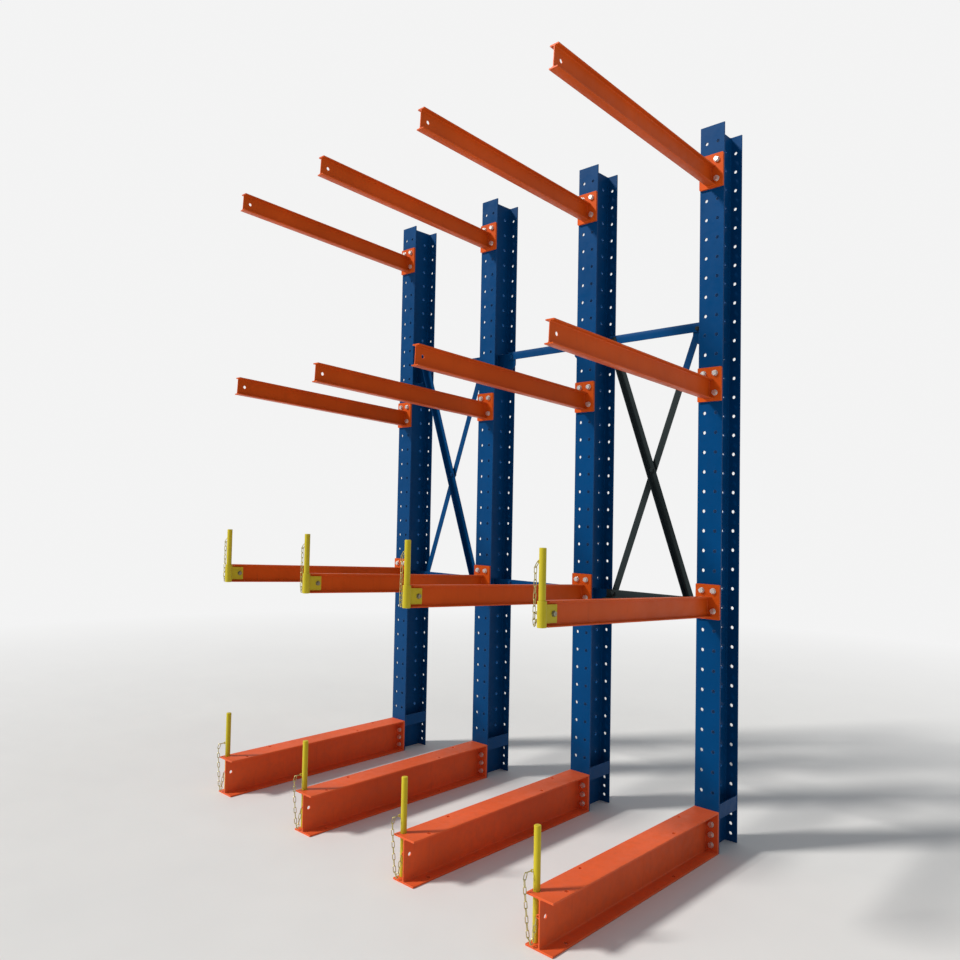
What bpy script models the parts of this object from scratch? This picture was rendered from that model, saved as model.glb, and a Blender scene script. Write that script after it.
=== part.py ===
"""Single-sided cantilever rack: four columns, base beams, inclined arms, braces and captive stop pins.

Frame: metres, +Z up, X along the row of columns, the arms reach toward -Y, the floor is Z = 0.
"""

import math

import bmesh
import bpy
from mathutils import Vector

# ---------------------------------------------------------------- driving dimensions
COLUMN_PITCH = 0.780
COLUMN_HEIGHT = 3.680
HEAVY_WIDTH = 0.1332
HEAVY_DEPTH = 0.2032
HEAVY_WEB = 0.0057
HEAVY_FLANGE = 0.0078
HEAVY_ROOT = 0.0076

ARM_WIDTH = 0.0445
ARM_DEPTH = 0.1016
ARM_WEB = 0.0043
ARM_FLANGE = 0.0061
ARM_ROOT = 0.0050
ARM_RISE = math.radians(3.0)
REACH = 1.320

BOLT_GAUGE = 0.063
BOLT_PITCH = 0.100
BOLT_HOLE = 0.018
ARM_UPPER_BOLTS = (1.290, 2.390, 3.490)
ARM_PLATE_WIDTH = 0.131
ARM_PLATE_ABOVE = 0.032
ARM_PLATE_BELOW = 0.042
ARM_TOP_BELOW_BOLTS = 0.030
FOOT_BOLTS = (0.140, 0.090, 0.040)
PLATE = 0.012

ANCHOR_HOLES = ((0.042, 0.115), (-0.042, 0.320), (0.042, 0.927), (-0.042, 1.125))
BEAM_EYE_HOLE = (0.035, 0.122)
ARM_EYE_HOLE = 0.049

PIN_RADIUS = 0.0142
PIN_HOLE_RADIUS = 0.0170
PIN_ABOVE_BASE = 0.250
PIN_ABOVE_ARM = 0.204
PIN_SIDE = 0.045
PIN_BACK = 0.038
SOCKET_RADIUS = 0.0190
SOCKET_BORE = 0.0160
SOCKET_FLOOR = 0.004
SOCKET_AHEAD = 0.020
SOCKET_SIDE = 0.005
SOCKET_PLATE = (0.005, 0.072, 0.073)

GUSSET = 0.006
GUSSET_BACK = 0.106
UPPER_GUSSET = (0.155, 2.575, 2.6847)
LOWER_GUSSET = (0.172, 1.130, 1.235)
UPPER_NODE = (0.126, 2.658)
LOWER_NODE = (0.146, 1.220)
BRACE_HOLE = 0.014
STRUT_START = 0.099
STRUT_LEG = 0.050
STRUT_THICK = 0.005
UPPER_STRUT_TOP = 2.690
LOWER_STRUT_BOTTOM = 1.188
DIAGONAL_LEG = 0.040
DIAGONAL_THICK = 0.004
DIAGONAL_END = 0.020

FOOT_STRIP = (0.0600, 0.0660, 0.168, 0.240)
GUSSET_CUT = 0.030

LUG_THICK = 0.003
LUG_HALF = 0.006
LUG_REACH = 0.011
LUG_HOLE = 0.003
BEAM_LUG = (0.013, 0.008, 0.125)
SOCKET_LUG_Z = 0.054
BASE_LUG_ABOVE = 0.075
ARM_LUG_ABOVE = 0.150
CHAIN_RADIUS = 0.003
SMALL_BOLT = (0.006, 0.019, 0.008)
GAP = 0.0003

# ---------------------------------------------------------------- derived positions
FRONT = REACH + SOCKET_AHEAD + SOCKET_RADIUS
FACE_Y = (FRONT - HEAVY_DEPTH) / 2
TIP_Y = FACE_Y - REACH
COLUMNS = [(i - 1.5) * COLUMN_PITCH for i in range(4)]
GUSSET_Y = FACE_Y + GUSSET_BACK
STRUT_Y = GUSSET_Y - GUSSET - GAP

# ---------------------------------------------------------------- paint and metal, linear RGB
BLUE = (0.0025, 0.0600, 0.2050)
ORANGE = (0.6300, 0.0860, 0.0160)
YELLOW = (0.7400, 0.6400, 0.0420)
GREEN = (0.0200, 0.0430, 0.0400)
ZINC = (0.5200, 0.4900, 0.1700)


def arc(cx, cy, radius, start, stop, steps):
    """Points of an arc, both ends included, in degrees."""
    points = []
    for i in range(steps + 1):
        angle = math.radians(start + (stop - start) * i / steps)
        points.append((cx + radius * math.cos(angle), cy + radius * math.sin(angle)))
    return points


def i_section(width, depth, web, flange, root):
    """Outline of a rolled I-section with rounded roots, centred on the origin."""
    low = -depth / 2 + flange
    centre = web / 2 + root
    right = [(width / 2, -depth / 2), (width / 2, low)]
    right += arc(centre, low + root, root, 270, 180, 2)
    right += arc(centre, -low - root, root, 180, 90, 2)
    right += [(width / 2, -low), (width / 2, depth / 2)]
    left = [(-u, v) for u, v in reversed(right)]
    return right + left


def prism(outline, first_end, second_end):
    """Closed body whose two end faces are the outline placed by the two functions."""
    bm = bmesh.new()
    first = [bm.verts.new(first_end(u, v)) for u, v in outline]
    second = [bm.verts.new(second_end(u, v)) for u, v in outline]
    bm.faces.new(list(reversed(first)))
    bm.faces.new(second)
    count = len(outline)
    for i in range(count):
        j = (i + 1) % count
        bm.faces.new((first[i], first[j], second[j], second[i]))
    bmesh.ops.recalc_face_normals(bm, faces=bm.faces)
    return bm


def box(low, high):
    """Axis-aligned block between two corners."""
    outline = [(low[0], low[1]), (high[0], low[1]), (high[0], high[1]), (low[0], high[1])]
    return prism(outline, lambda u, v: (u, v, low[2]), lambda u, v: (u, v, high[2]))


def rod(centre, axis, radius, length, steps=10):
    """Cylinder centred on a point along X, Y or Z."""
    outline = arc(0, 0, radius, 0, 360 * (steps - 1) / steps, steps - 1)
    x, y, z = centre
    half = length / 2
    ends = {
        "X": lambda s: (lambda u, v: (x + s * half, y + u, z + v)),
        "Y": lambda s: (lambda u, v: (x + u, y + s * half, z + v)),
        "Z": lambda s: (lambda u, v: (x + u, y + v, z + s * half)),
    }[axis]
    return prism(outline, ends(-1), ends(1))


def turned(profile, steps=24):
    """Body of revolution about Z; the profile runs from axis to axis as (radius, z)."""
    bm = bmesh.new()
    rings = []
    for radius, z in profile:
        if radius == 0:
            rings.append([bm.verts.new((0, 0, z))])
            continue
        ring = []
        for i in range(steps):
            angle = 2 * math.pi * i / steps
            ring.append(bm.verts.new((radius * math.cos(angle), radius * math.sin(angle), z)))
        rings.append(ring)
    for low, high in zip(rings, rings[1:]):
        for i in range(steps):
            j = (i + 1) % steps
            if len(low) == 1:
                bm.faces.new((low[0], high[i], high[j]))
            elif len(high) == 1:
                bm.faces.new((low[i], low[j], high[0]))
            else:
                bm.faces.new((low[i], low[j], high[j], high[i]))
    bmesh.ops.recalc_face_normals(bm, faces=bm.faces)
    return bm


def smooth_route(points, steps=2):
    """Points along a rounded path through the given ones."""
    knots = [Vector(p) for p in points]
    knots = [2 * knots[0] - knots[1]] + knots + [2 * knots[-1] - knots[-2]]
    route = []
    for a, b, c, d in zip(knots, knots[1:], knots[2:], knots[3:]):
        for i in range(steps):
            t = i / steps
            bend = 2 * b + (c - a) * t + (2 * a - 5 * b + 4 * c - d) * t**2
            route.append((bend + (3 * b - 3 * c + d - a) * t**3) / 2)
    route.append(knots[-2])
    return route


def cord(name, points, radius):
    """Closed round cord along a path, as a bevelled curve."""
    curve = bpy.data.curves.new(name, "CURVE")
    curve.dimensions = "3D"
    curve.bevel_depth = radius
    curve.bevel_resolution = 2
    curve.use_fill_caps = True
    spline = curve.splines.new("POLY")
    spline.points.add(len(points) - 1)
    for knot, point in zip(spline.points, points):
        knot.co = (*point, 1)
    return curve


def as_mesh(bm, name):
    mesh = bpy.data.meshes.new(name)
    bm.to_mesh(mesh)
    bm.free()
    return mesh


def combined(base, tools, operation, name):
    """Mesh of the base body after a Boolean with each tool body."""
    mesh = as_mesh(base, name)
    for tool in tools:
        body = bpy.data.objects.new("body", mesh)
        cutter = bpy.data.objects.new("cutter", as_mesh(tool, "cutter"))
        cutter.hide_render = True
        cutter.display_type = "WIRE"
        for thing in (body, cutter):
            bpy.context.scene.collection.objects.link(thing)
        step = body.modifiers.new("cut", "BOOLEAN")
        step.solver = "EXACT"
        step.operation = operation
        step.object = cutter
        view = bpy.context.evaluated_depsgraph_get()
        view.update()
        mesh = bpy.data.meshes.new_from_object(body.evaluated_get(view))
        bpy.data.objects.remove(body)
        bpy.data.objects.remove(cutter)
    mesh.name = name
    return mesh


def holed(mesh, holes):
    """Mesh with every hole cut in one pass; the holes don't meet each other."""
    cutter = bmesh.new()
    for hole in holes:
        part = as_mesh(hole, "hole")
        cutter.from_mesh(part)
        bpy.data.meshes.remove(part)
    base = bmesh.new()
    base.from_mesh(mesh)
    return combined(base, [cutter], "DIFFERENCE", mesh.name)


def rounded(mesh):
    """Round faces shaded smooth, with the sharp edges kept."""
    mesh.shade_smooth()
    mesh.set_sharp_from_angle(angle=math.radians(40))
    return mesh


def paint(name, colour, roughness, metallic):
    material = bpy.data.materials.new(name)
    material.use_nodes = True
    shader = material.node_tree.nodes["Principled BSDF"]
    shader.inputs["Base Color"].default_value = (*colour, 1)
    shader.inputs["Roughness"].default_value = roughness
    shader.inputs["Metallic"].default_value = metallic
    material.diffuse_color = (*colour, 1)
    return material


def place(name, mesh, location, colour, roughness=0.45, metallic=0.0, turn=(0, 0, 0)):
    """Named object with its own material on a mesh that its copies share."""
    thing = bpy.data.objects.new(name, mesh)
    bpy.context.scene.collection.objects.link(thing)
    thing.location = location
    thing.rotation_euler = turn
    if not mesh.materials:
        mesh.materials.append(None)
    thing.material_slots[0].link = "OBJECT"
    thing.material_slots[0].material = paint(name, colour, roughness, metallic)
    return thing


# ---------------------------------------------------------------- bolts
def bolt_mesh(name, grip, shank, flats, head, spacer=None):
    """Hex bolt and nut along local Y; the head seats at Y = 0 and the nut at Y = grip."""
    hexagon = arc(0, 0, flats / math.sqrt(3), 0, 300, 5)

    def nut(start, stop):
        return prism(hexagon, lambda u, v: (u, start, v), lambda u, v: (u, stop, v))

    middle = (grip + head / 2) / 2
    shaft = rod((0, middle, 0), "Y", shank, grip + 2.5 * head, 12)
    rings = [nut(-GAP - head, -GAP), nut(grip + GAP, grip + GAP + head)]
    if spacer:
        radius, start, stop = spacer
        rings.append(rod((0, (start + stop) / 2, 0), "Y", radius, stop - start, 16))
    return rounded(combined(shaft, rings, "UNION", name))


# ---------------------------------------------------------------- columns
def gusset(sides, reach, bottom, top):
    """Upright brace plate through the web, with its outer lower corners cut off."""
    cut = GUSSET_CUT
    outline = []
    if 1 in sides:
        outline += [(reach - cut, bottom), (reach, bottom + cut), (reach, top)]
    else:
        outline += [(0, bottom), (0, top)]
    if -1 in sides:
        outline += [(-reach, top), (-reach, bottom + cut), (cut - reach, bottom)]
    else:
        outline += [(0, top), (0, bottom)]
    front = GUSSET_BACK - GUSSET
    return prism(outline, lambda u, v: (u, front, v), lambda u, v: (u, GUSSET_BACK, v))


def column_mesh(name, sides):
    """Column with its front face at local Y = 0 and brace plates on the given sides."""
    outline = i_section(HEAVY_WIDTH, HEAVY_DEPTH, HEAVY_WEB, HEAVY_FLANGE, HEAVY_ROOT)
    middle = HEAVY_DEPTH / 2
    shaft = prism(
        outline,
        lambda u, v: (u, v + middle, 0),
        lambda u, v: (u, v + middle, COLUMN_HEIGHT),
    )
    extras = []
    low, high, bottom, top = FOOT_STRIP
    for side in (-1, 1):
        near = min(side * low, side * high)
        far = max(side * low, side * high)
        front = HEAVY_FLANGE - 0.002
        extras.append(box((near, front, bottom), (far, HEAVY_DEPTH - front, top)))
    extras.append(gusset(sides, *UPPER_GUSSET))
    extras.append(gusset(sides, *LOWER_GUSSET))
    mesh = combined(shaft, extras, "UNION", name)
    holes = []
    for x in (-BOLT_GAUGE / 2, BOLT_GAUGE / 2):
        for z in FOOT_BOLTS:
            holes.append(rod((x, HEAVY_FLANGE / 2, z), "Y", BOLT_HOLE / 2, 0.012))
            rear = HEAVY_DEPTH - HEAVY_FLANGE / 2
            holes.append(rod((x, rear, z), "Y", BOLT_HOLE / 2, 0.012))
        for upper in ARM_UPPER_BOLTS:
            for z in (upper, upper - BOLT_PITCH):
                holes.append(rod((x, HEAVY_FLANGE / 2, z), "Y", BOLT_HOLE / 2, 0.012))
    for side in sides:
        for x, z in (UPPER_NODE, LOWER_NODE):
            centre = (side * x, GUSSET_BACK - GUSSET / 2, z)
            holes.append(rod(centre, "Y", BRACE_HOLE / 2, 0.010))
    return holed(mesh, holes)


def build_columns():
    ends = {
        "left": column_mesh("column_left_end", (1,)),
        "middle": column_mesh("column_middle", (-1, 1)),
        "right": column_mesh("column_right_end", (-1,)),
    }
    for i, kind in enumerate(("left", "middle", "middle", "right")):
        place(f"column_{i + 1}", ends[kind], (COLUMNS[i], FACE_Y, 0), BLUE)


# ---------------------------------------------------------------- base beams
def base_mesh():
    """Base beam with local Y = 0 at the column's face, reaching toward -Y."""
    outline = i_section(HEAVY_WIDTH, HEAVY_DEPTH, HEAVY_WEB, HEAVY_FLANGE, HEAVY_ROOT)
    middle = HEAVY_DEPTH / 2
    beam = prism(
        outline,
        lambda u, v: (u, -REACH, v + middle),
        lambda u, v: (u, -GAP - PLATE / 2, v + middle),
    )
    half = HEAVY_WIDTH / 2
    plate = box((-half, -GAP - PLATE, 0), (half, -GAP, HEAVY_DEPTH))
    aside, lug_y, lug_z = BEAM_LUG
    lug_y -= REACH
    low = (LUG_HALF - LUG_REACH - aside, lug_y - LUG_THICK / 2, lug_z - LUG_HALF)
    lug = box(low, (0, lug_y + LUG_THICK / 2, lug_z + LUG_HALF))
    mesh = combined(beam, [plate, lug], "UNION", "base_beam")
    holes = [rod((-PIN_SIDE, -REACH + PIN_BACK, HEAVY_DEPTH), "Z", PIN_HOLE_RADIUS, 0.024, 20)]
    holes.append(rod((-aside, lug_y, lug_z), "Y", LUG_HOLE, 0.010, 8))
    back, z = BEAM_EYE_HOLE
    holes.append(rod((0, -REACH + back, z), "X", BOLT_HOLE / 2, 0.012))
    for x, back in ANCHOR_HOLES:
        for z in (HEAVY_FLANGE / 2, HEAVY_DEPTH - HEAVY_FLANGE / 2):
            holes.append(rod((x, -REACH + back, z), "Z", BOLT_HOLE / 2, 0.012))
    for x in (-BOLT_GAUGE / 2, BOLT_GAUGE / 2):
        for z in FOOT_BOLTS:
            holes.append(rod((x, -PLATE / 2, z), "Y", BOLT_HOLE / 2, 0.020))
    return holed(mesh, holes)


def build_bases():
    mesh = base_mesh()
    for i, x in enumerate(COLUMNS):
        place(f"base_beam_{i + 1}", mesh, (x, FACE_Y, 0), ORANGE)


# ---------------------------------------------------------------- arms
def rise_at(distance):
    """Height gained by the arm at a distance in front of the column."""
    return (distance - GAP - PLATE / 2) * math.tan(ARM_RISE)


def arm_mesh():
    """Arm with its local origin on the column's face at the height of its upper bolts."""
    outline = i_section(ARM_WIDTH, ARM_DEPTH, ARM_WEB, ARM_FLANGE, ARM_ROOT)
    root_z = -ARM_TOP_BELOW_BOLTS - ARM_DEPTH / 2 / math.cos(ARM_RISE)
    root_y = -GAP - PLATE / 2
    tip_y = -REACH + ARM_DEPTH / 2 * math.sin(ARM_RISE)
    tip_z = root_z + rise_at(-tip_y)
    beam = prism(
        outline,
        lambda u, v: (u, tip_y + v * math.sin(ARM_RISE), tip_z + v * math.cos(ARM_RISE)),
        lambda u, v: (u, root_y, root_z + v / math.cos(ARM_RISE)),
    )
    half = ARM_PLATE_WIDTH / 2
    low = (-half, -GAP - PLATE, -BOLT_PITCH - ARM_PLATE_BELOW)
    plate = box(low, (half, -GAP, ARM_PLATE_ABOVE))
    mesh = combined(beam, [plate], "UNION", "arm")
    holes = []
    for x in (-BOLT_GAUGE / 2, BOLT_GAUGE / 2):
        for z in (0, -BOLT_PITCH):
            holes.append(rod((x, -PLATE / 2, z), "Y", BOLT_HOLE / 2, 0.020))
    eye_z = root_z + rise_at(REACH - ARM_EYE_HOLE)
    holes.append(rod((0, -REACH + ARM_EYE_HOLE, eye_z), "X", BOLT_HOLE / 2, 0.012))
    return holed(mesh, holes)


def arm_tip(level):
    """World heights of the arm's bottom and top at its tip."""
    top = ARM_UPPER_BOLTS[level] - ARM_TOP_BELOW_BOLTS + rise_at(REACH)
    return top - ARM_DEPTH, top


def build_arms():
    mesh = arm_mesh()
    for level, upper in enumerate(ARM_UPPER_BOLTS):
        for i, x in enumerate(COLUMNS):
            place(f"arm_L{level + 1}_{i + 1}", mesh, (x, FACE_Y, upper), ORANGE)


# ---------------------------------------------------------------- stop pins, sockets and chains
def pin_mesh(name, length, lug_z, lug_angle):
    """Round pin standing on its local origin, with a small chain lug on its side."""
    edge = 0.0015
    profile = [(0, 0), (PIN_RADIUS - edge, 0), (PIN_RADIUS, edge)]
    profile += [(PIN_RADIUS, length - edge), (PIN_RADIUS - edge, length), (0, length)]
    low = (PIN_RADIUS - 0.002, -LUG_THICK / 2, lug_z - LUG_HALF)
    ear = box(low, (PIN_RADIUS + LUG_REACH, LUG_THICK / 2, lug_z + LUG_HALF))
    hole = rod((PIN_RADIUS + LUG_HALF, 0, lug_z), "Y", LUG_HOLE, 0.010, 8)
    for body in (ear, hole):
        for vertex in body.verts:
            x, y, z = vertex.co
            c = math.cos(lug_angle)
            s = math.sin(lug_angle)
            vertex.co = (x * c - y * s, x * s + y * c, z)
    mesh = combined(turned(profile), [ear], "UNION", name)
    return rounded(holed(mesh, [hole]))


def socket_bolt_place():
    """Distance behind the tip and height over the arm's tip of the socket's bolt."""
    return ARM_EYE_HOLE, ARM_DEPTH / 2 - ARM_EYE_HOLE * math.tan(ARM_RISE)


def socket_mesh():
    """Upright tube with a floor and a bolted side plate; the origin is at the tube's foot."""
    height = ARM_DEPTH
    profile = [(0, 0), (SOCKET_RADIUS, 0), (SOCKET_RADIUS, height), (SOCKET_BORE, height)]
    profile += [(SOCKET_BORE, SOCKET_FLOOR), (0, SOCKET_FLOOR)]
    thick, length, tall = SOCKET_PLATE
    start = (SOCKET_BORE + SOCKET_RADIUS) / 2
    stop = SOCKET_AHEAD + length
    slope = -math.tan(ARM_RISE)
    outline = [(start, -tall / 2), (stop, -tall / 2), (stop, tall / 2), (start, tall / 2)]
    side = ARM_WEB / 2 + GAP - SOCKET_SIDE

    def end(x):
        return lambda u, v: (x, u, height / 2 + v + (u - SOCKET_AHEAD) * slope)

    plate = prism(outline, end(side), end(side + thick))
    low = (-SOCKET_RADIUS - LUG_REACH, -LUG_THICK / 2, SOCKET_LUG_Z - LUG_HALF)
    ear = box(low, (-SOCKET_BORE - 0.001, LUG_THICK / 2, SOCKET_LUG_Z + LUG_HALF))
    mesh = combined(turned(profile), [plate, ear], "UNION", "pin_socket")
    back, bolt_z = socket_bolt_place()
    centre = (side + thick / 2, SOCKET_AHEAD + back, bolt_z)
    holes = [rod(centre, "X", BRACE_HOLE / 2, 0.012)]
    holes.append(rod((-SOCKET_RADIUS - LUG_HALF, 0, SOCKET_LUG_Z), "Y", LUG_HOLE, 0.010, 8))
    return rounded(holed(mesh, holes))


def build_base_stops():
    foot = HEAVY_FLANGE + GAP
    length = HEAVY_DEPTH + PIN_ABOVE_BASE - foot
    pin_y = TIP_Y + PIN_BACK
    lug_z = HEAVY_DEPTH + BASE_LUG_ABOVE
    pin = pin_mesh("base_pin", length, lug_z - foot, math.radians(225))
    reach = PIN_RADIUS + LUG_HALF
    start_x = -PIN_SIDE - reach * math.cos(math.radians(45))
    start_y = PIN_BACK - reach * math.sin(math.radians(45))
    points = [
        (start_x - 0.003, start_y - 0.006, lug_z),
        (-0.066, 0.006, lug_z + 0.002),
        (-0.068, -0.009, lug_z - 0.020),
        (-0.064, -0.010, HEAVY_DEPTH),
        (-0.054, -0.010, 0.110),
        (-0.045, -0.010, 0.040),
        (-0.032, -0.010, 0.020),
        (-0.020, -0.010, 0.045),
        (-0.013, -0.002, 0.122),
    ]
    chain = cord("base_chain", smooth_route(points, 3), CHAIN_RADIUS)
    for i, x in enumerate(COLUMNS):
        place(f"base_pin_{i + 1}", pin, (x - PIN_SIDE, pin_y, foot), YELLOW, 0.5)
        place(f"base_chain_{i + 1}", chain, (x, TIP_Y, 0), ZINC, 0.35, 0.9)


def build_arm_stops():
    bottom, top = arm_tip(0)
    foot = SOCKET_FLOOR + GAP
    length = top + PIN_ABOVE_ARM - bottom - foot
    lug_z = top + ARM_LUG_ABOVE - bottom
    pin = pin_mesh("arm_pin", length, lug_z - foot, math.radians(180))
    reach = PIN_RADIUS + LUG_HALF
    points = [
        (-reach, -0.0045, lug_z - 0.001),
        (-reach - 0.006, -0.010, lug_z - 0.010),
        (-reach - 0.007, -0.010, lug_z - 0.080),
        (-reach - 0.010, -0.010, 0.070),
        (-reach - 0.012, -0.009, 0.020),
        (-reach - 0.008, -0.006, 0.004),
        (-reach - 0.004, -0.005, 0.020),
        (-SOCKET_RADIUS - LUG_HALF, -0.0048, SOCKET_LUG_Z - 0.003),
    ]
    chain = cord("arm_chain", smooth_route(points), CHAIN_RADIUS)
    socket = socket_mesh()
    plate = SOCKET_PLATE[0]
    bolt = bolt_mesh("socket_bolt", plate + GAP + ARM_WEB, *SMALL_BOLT)
    seat = ARM_WEB / 2 + GAP + plate
    back, bolt_z = socket_bolt_place()
    for i, x in enumerate(COLUMNS):
        at = (x + SOCKET_SIDE, TIP_Y - SOCKET_AHEAD, bottom)
        place(f"pin_socket_{i + 1}", socket, at, YELLOW, 0.5)
        place(f"arm_pin_{i + 1}", pin, (at[0], at[1], at[2] + foot), YELLOW, 0.5)
        place(f"arm_chain_{i + 1}", chain, at, ZINC, 0.35, 0.9)
        bolt_at = (x + seat, TIP_Y + back, bottom + bolt_z)
        place(f"socket_bolt_{i + 1}", bolt, bolt_at, ZINC, 0.35, 0.9, (0, 0, math.pi / 2))


# ---------------------------------------------------------------- bracing between the columns
def strut_mesh(name, node_x, hole_z, foot_z, ledge):
    """Angle strut along X; its upright leg's back face is local Y = 0."""
    half = COLUMN_PITCH / 2 - STRUT_START
    t = STRUT_THICK
    if ledge == "back":
        outline = [(0, 0), (0, STRUT_LEG - t), (STRUT_LEG - t, STRUT_LEG - t)]
        outline += [(STRUT_LEG - t, STRUT_LEG), (-t, STRUT_LEG), (-t, 0)]
    else:
        outline = [(0, 0), (0, STRUT_LEG), (-t, STRUT_LEG), (-t, t), (-STRUT_LEG, t), (-STRUT_LEG, 0)]
    bar = prism(outline, lambda u, v: (-half, u, v), lambda u, v: (half, u, v))
    at = COLUMN_PITCH / 2 - node_x
    holes = []
    for side in (-1, 1):
        holes.append(rod((side * at, -t / 2, hole_z - foot_z), "Y", BRACE_HOLE / 2, 0.010))
    return holed(as_mesh(bar, name), holes)


def diagonal_mesh(name, span, middle, outward):
    """Angle along Z from its lower bolt; local Y = 0 is where its flat leg is bolted on."""
    half = DIAGONAL_LEG / 2
    t = DIAGONAL_THICK
    outline = [(half, 0), (-half, 0), (-half, DIAGONAL_LEG), (t - half, DIAGONAL_LEG)]
    outline += [(t - half, t), (half, t)]
    top = span + DIAGONAL_END
    bar = prism(
        outline,
        lambda u, v: (u, outward * v, -DIAGONAL_END),
        lambda u, v: (u, outward * v, top),
    )
    holes = []
    for z in (0, middle, span):
        holes.append(rod((0, outward * t / 2, z), "Y", BRACE_HOLE / 2, 0.008))
    return holed(as_mesh(bar, name), holes)


def build_bracing():
    foot = UPPER_STRUT_TOP - STRUT_LEG
    upper = strut_mesh("top_strut", UPPER_NODE[0], UPPER_NODE[1], foot, "back")
    lower = strut_mesh("lower_strut", LOWER_NODE[0], LOWER_NODE[1], LOWER_STRUT_BOTTOM, "front")
    run = COLUMN_PITCH - UPPER_NODE[0] - LOWER_NODE[0]
    rise = UPPER_NODE[1] - LOWER_NODE[1]
    span = math.hypot(run, rise)
    lean = math.atan2(run, rise)
    middle = (COLUMN_PITCH / 2 - LOWER_NODE[0]) / math.sin(lean)
    front_diagonal = diagonal_mesh("front_diagonal", span, middle, -1)
    rear_diagonal = diagonal_mesh("rear_diagonal", span, middle, 1)
    front_y = STRUT_Y - STRUT_THICK - GAP
    rear_y = GUSSET_Y + GAP
    seat = front_y - DIAGONAL_THICK
    grip = rear_y + DIAGONAL_THICK - seat
    spacer = (0.011, front_y - seat + GAP, rear_y - seat - GAP)
    bolt = bolt_mesh("cross_bolt", grip, *SMALL_BOLT, spacer)
    cross_z = LOWER_NODE[1] + middle * math.cos(lean)
    for bay in range(3):
        left = COLUMNS[bay]
        centre = left + COLUMN_PITCH / 2
        tag = f"{bay + 1}_{bay + 2}"
        dark = GREEN if bay == 2 else BLUE
        place(f"top_strut_{tag}", upper, (centre, STRUT_Y, foot), BLUE)
        place(f"lower_strut_{tag}", lower, (centre, STRUT_Y, LOWER_STRUT_BOTTOM), dark)
        if bay == 1:
            continue
        at = (left + COLUMN_PITCH - LOWER_NODE[0], front_y, LOWER_NODE[1])
        place(f"diagonal_front_{tag}", front_diagonal, at, dark, turn=(0, -lean, 0))
        at = (left + LOWER_NODE[0], rear_y, LOWER_NODE[1])
        place(f"diagonal_rear_{tag}", rear_diagonal, at, dark, turn=(0, lean, 0))
        place(f"cross_bolt_{tag}", bolt, (centre, seat, cross_z), dark)


def clear_scene():
    for thing in list(bpy.data.objects):
        bpy.data.objects.remove(thing)


clear_scene()
build_columns()
build_bases()
build_arms()
build_base_stops()
build_arm_stops()
build_bracing()
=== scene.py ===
"""Looks of the cantilever rack: punched columns, welded beams, bolts, chains, paint and studio."""

import math

import bmesh
import bpy
from mathutils import Matrix, Vector


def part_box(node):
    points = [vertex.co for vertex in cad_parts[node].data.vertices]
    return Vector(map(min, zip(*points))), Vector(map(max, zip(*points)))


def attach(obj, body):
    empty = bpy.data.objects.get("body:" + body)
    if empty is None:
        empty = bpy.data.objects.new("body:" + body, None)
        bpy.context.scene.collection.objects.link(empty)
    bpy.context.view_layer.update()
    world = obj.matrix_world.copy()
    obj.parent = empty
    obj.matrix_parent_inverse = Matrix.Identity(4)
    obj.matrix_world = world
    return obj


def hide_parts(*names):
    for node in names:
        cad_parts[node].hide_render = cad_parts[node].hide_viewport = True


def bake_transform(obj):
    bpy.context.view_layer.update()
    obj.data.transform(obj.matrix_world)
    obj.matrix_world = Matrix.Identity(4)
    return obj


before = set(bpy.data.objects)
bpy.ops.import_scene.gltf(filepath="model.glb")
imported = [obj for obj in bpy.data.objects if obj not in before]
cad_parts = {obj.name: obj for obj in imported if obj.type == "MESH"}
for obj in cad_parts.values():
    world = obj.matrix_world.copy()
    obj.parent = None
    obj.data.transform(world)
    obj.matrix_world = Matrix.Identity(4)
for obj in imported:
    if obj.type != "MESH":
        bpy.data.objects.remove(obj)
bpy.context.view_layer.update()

# ---------------------------------------------------------------- sizes read from the frame
STATIC = "rack"
BASES = [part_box(f"base_beam_{i}") for i in range(1, 5)]
COLUMN_X = [(low.x + high.x) / 2 for low, high in BASES]
PITCH = COLUMN_X[1] - COLUMN_X[0]
FACE_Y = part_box("column_1")[0].y
REAR_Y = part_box("column_1")[1].y
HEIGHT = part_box("column_1")[1].z
TIP_Y = BASES[0][0].y
HEAVY_WIDTH = BASES[0][1].x - BASES[0][0].x
HEAVY_DEPTH = REAR_Y - FACE_Y
ARM_PLATE_FOOT = [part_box(f"arm_L{level}_1")[0].z for level in (1, 2, 3)]
SOCKET_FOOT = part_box("pin_socket_1")[0].z

# ---------------------------------------------------------------- rolled sections and fittings
HEAVY = {"web": 0.0057, "flange": 0.0078, "root": 0.0076}
ARM = {"width": 0.0445, "depth": 0.1016, "web": 0.0043, "flange": 0.0061, "root": 0.0065}
ARM_RISE = math.radians(3.0)
PLATE = 0.012
GAP = 0.0003
GAUGE = 0.0315
BOLT_HOLE = 0.009
ROW_PITCH = 0.100
TOP_ROW = 3.590
FOOT_ROWS = (0.040, 0.090, 0.140)
WEB_ROW = 0.145
ANCHOR_HOLES = ((0.042, 0.115), (-0.042, 0.320), (0.042, 0.927), (-0.042, 1.125))
PIN_RADIUS = 0.0142
PIN_SIDE = 0.045
PIN_BACK = 0.038
PIN_HOLE = 0.017
ARM_PIN_SIDE = 0.005
TIP_HOLE = {"back": 0.035, "height": 0.122}
STAPLE = {"back": 0.008, "height": 0.125, "reach": 0.015, "rise": 0.014, "wire": 0.0024}
GUSSET = 0.006
GUSSET_BACK = 0.106
UPPER_GUSSET = (0.155, 2.575, 2.6847)
LOWER_GUSSET = (0.172, 1.130, 1.235)
UPPER_NODE = (0.126, 2.658)
LOWER_NODE = (0.146, 1.220)
STRUT_START = 0.099
STRUT = {"leg": 0.050, "thick": 0.005}
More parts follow.
